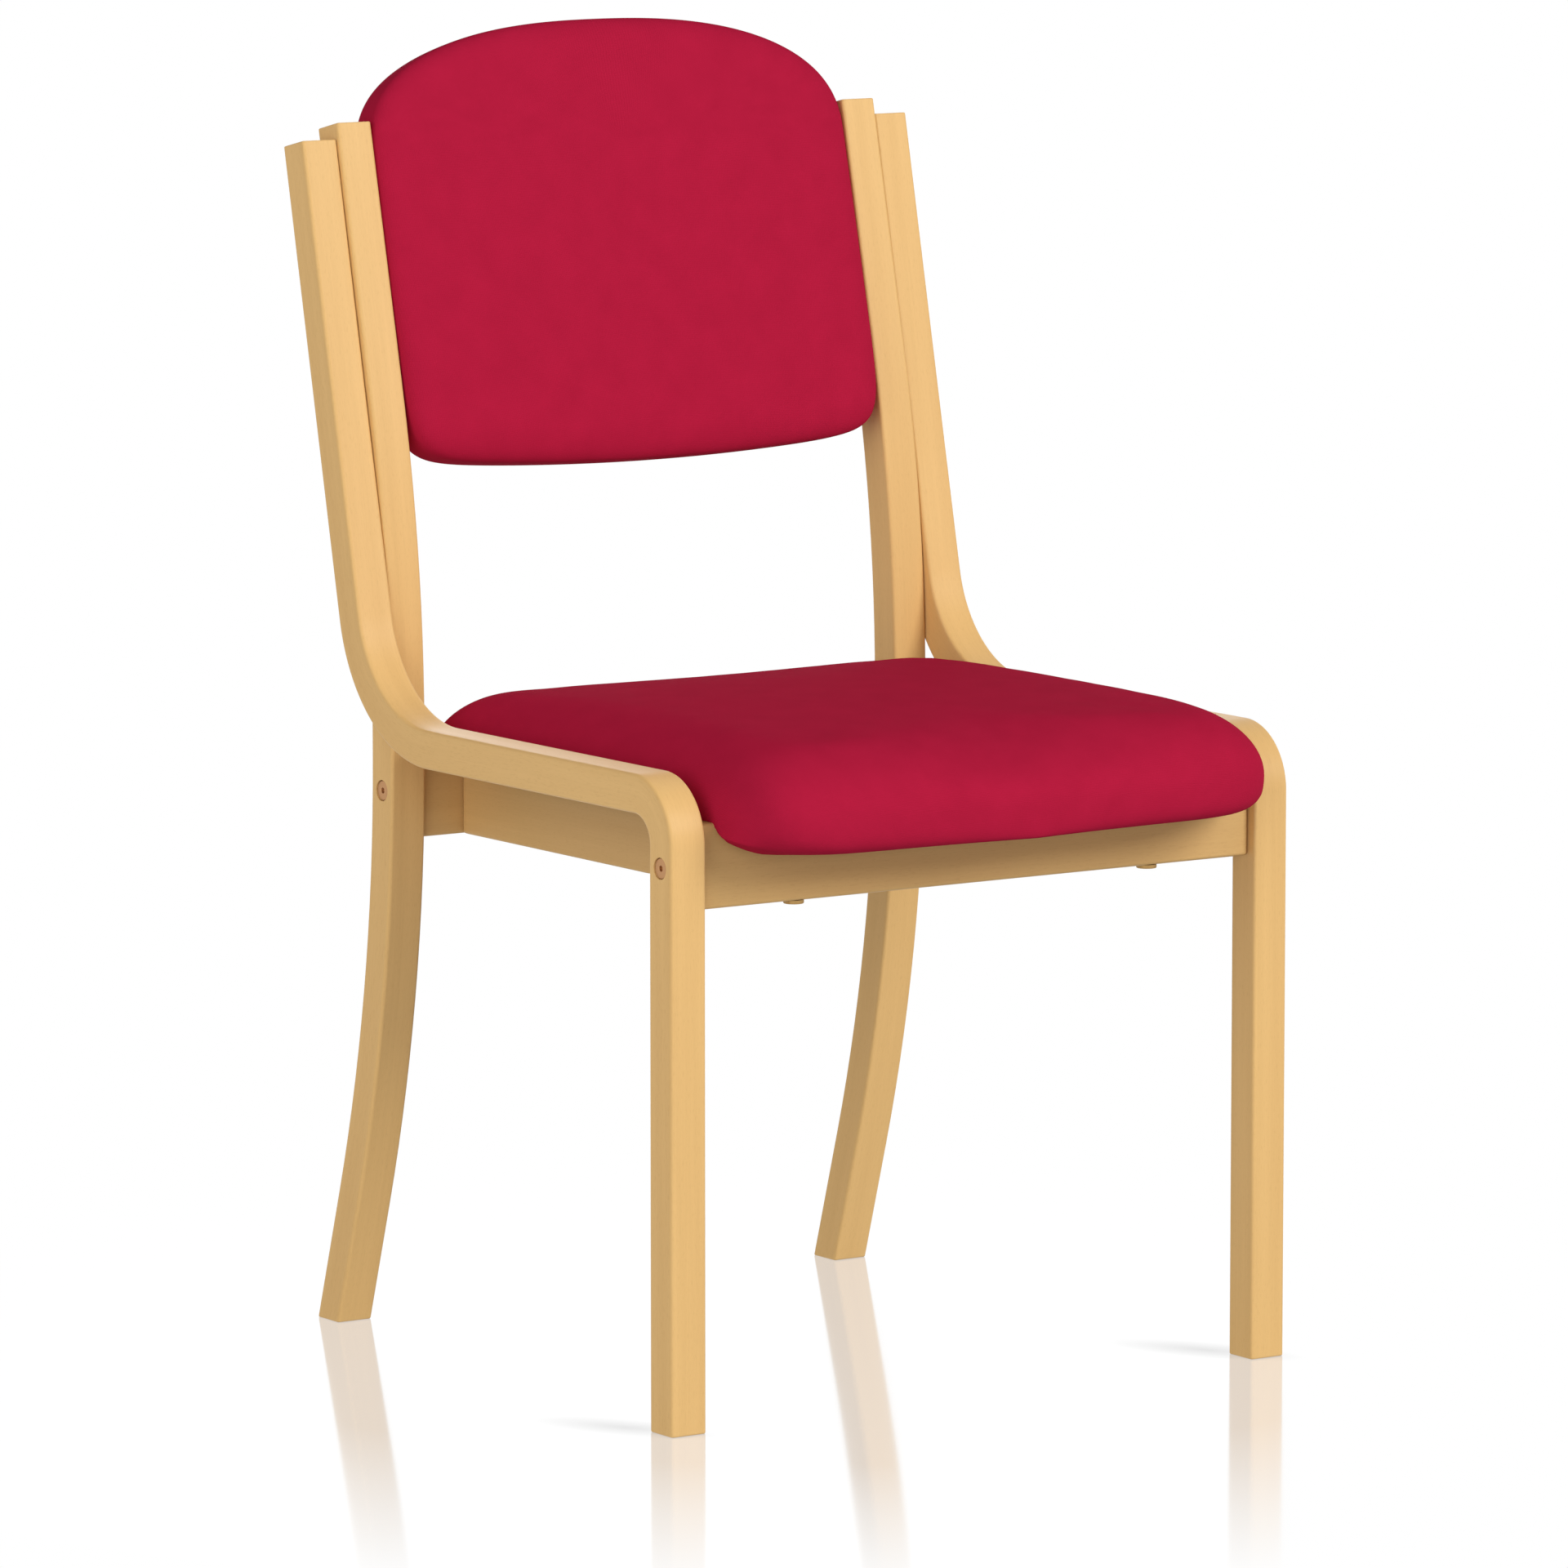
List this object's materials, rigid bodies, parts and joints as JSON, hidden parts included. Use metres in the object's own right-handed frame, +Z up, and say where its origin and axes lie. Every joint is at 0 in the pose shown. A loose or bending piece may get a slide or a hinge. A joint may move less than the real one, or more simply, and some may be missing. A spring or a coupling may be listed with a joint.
{
  "type": "visitor chair",
  "caption": "Visitor chair with bent beech side frames, bowed rear legs that splay at the floor, a padded seat with a rounded front and an arched padded back.",
  "frame": {"origin": "on the floor, under the middle of the chair's bounding box", "axes": "+Z up from the floor, -Y the way a sitter faces, +X to the right as seen from the front"},
  "size_m": [0.53, 0.5965, 0.9496],
  "materials": {
    "beech": "clear satin lacquer on steamed beech",
    "plywood": "raw plywood, hidden",
    "red_fabric": "plain woven upholstery, matt",
    "foam": "open-cell foam, hidden",
    "black_cloth": "thin unwoven dust cloth",
    "bronze": "bronzed steel, satin",
    "steel": "zinc plated"
  },
  "bodies": {
    "root": {"side_frame_left": "beech", "side_frame_right": "beech", "rear_leg_left": "beech", "rear_leg_right": "beech", "front_rail": "beech", "rear_rail": "beech", "side_apron_left": "beech", "side_apron_right": "beech", "frame_bolt_front_left": "bronze", "frame_bolt_front_right": "bronze", "frame_bolt_rear_left": "bronze", "frame_bolt_rear_right": "bronze", "barrel_nut_front_left": "steel", "barrel_nut_front_right": "steel", "barrel_nut_rear_left": "steel", "barrel_nut_rear_right": "steel", "rail_dowel_front_left_lower": "beech", "rail_dowel_front_left_upper": "beech", "rail_dowel_front_right_lower": "beech", "rail_dowel_front_right_upper": "beech", "rail_dowel_rear_left_lower": "beech", "rail_dowel_rear_left_upper": "beech", "rail_dowel_rear_right_lower": "beech", "rail_dowel_rear_right_upper": "beech", "apron_dowel_front_left_lower": "beech", "apron_dowel_front_left_upper": "beech", "apron_dowel_front_right_lower": "beech", "apron_dowel_front_right_upper": "beech", "apron_dowel_rear_left_lower": "beech", "apron_dowel_rear_left_upper": "beech", "apron_dowel_rear_right_lower": "beech", "apron_dowel_rear_right_upper": "beech", "upright_dowel_left_lower": "beech", "upright_dowel_left_upper": "beech", "upright_dowel_right_lower": "beech", "upright_dowel_right_upper": "beech", "seat_pan": "plywood", "seat_foam": "foam", "seat_cover": "red_fabric", "seat_dust_cover": "black_cloth", "seat_bolt_left": "bronze", "seat_bolt_right": "bronze", "tee_nut_left": "steel", "tee_nut_right": "steel", "seat_screw_left": "steel", "seat_screw_right": "steel", "back_board": "plywood", "back_foam": "foam", "back_cover": "red_fabric", "back_rear_panel": "red_fabric", "back_screw_left_lower": "steel", "back_screw_left_upper": "steel", "back_screw_right_lower": "steel", "back_screw_right_upper": "steel"}
  },
  "joints": []
}
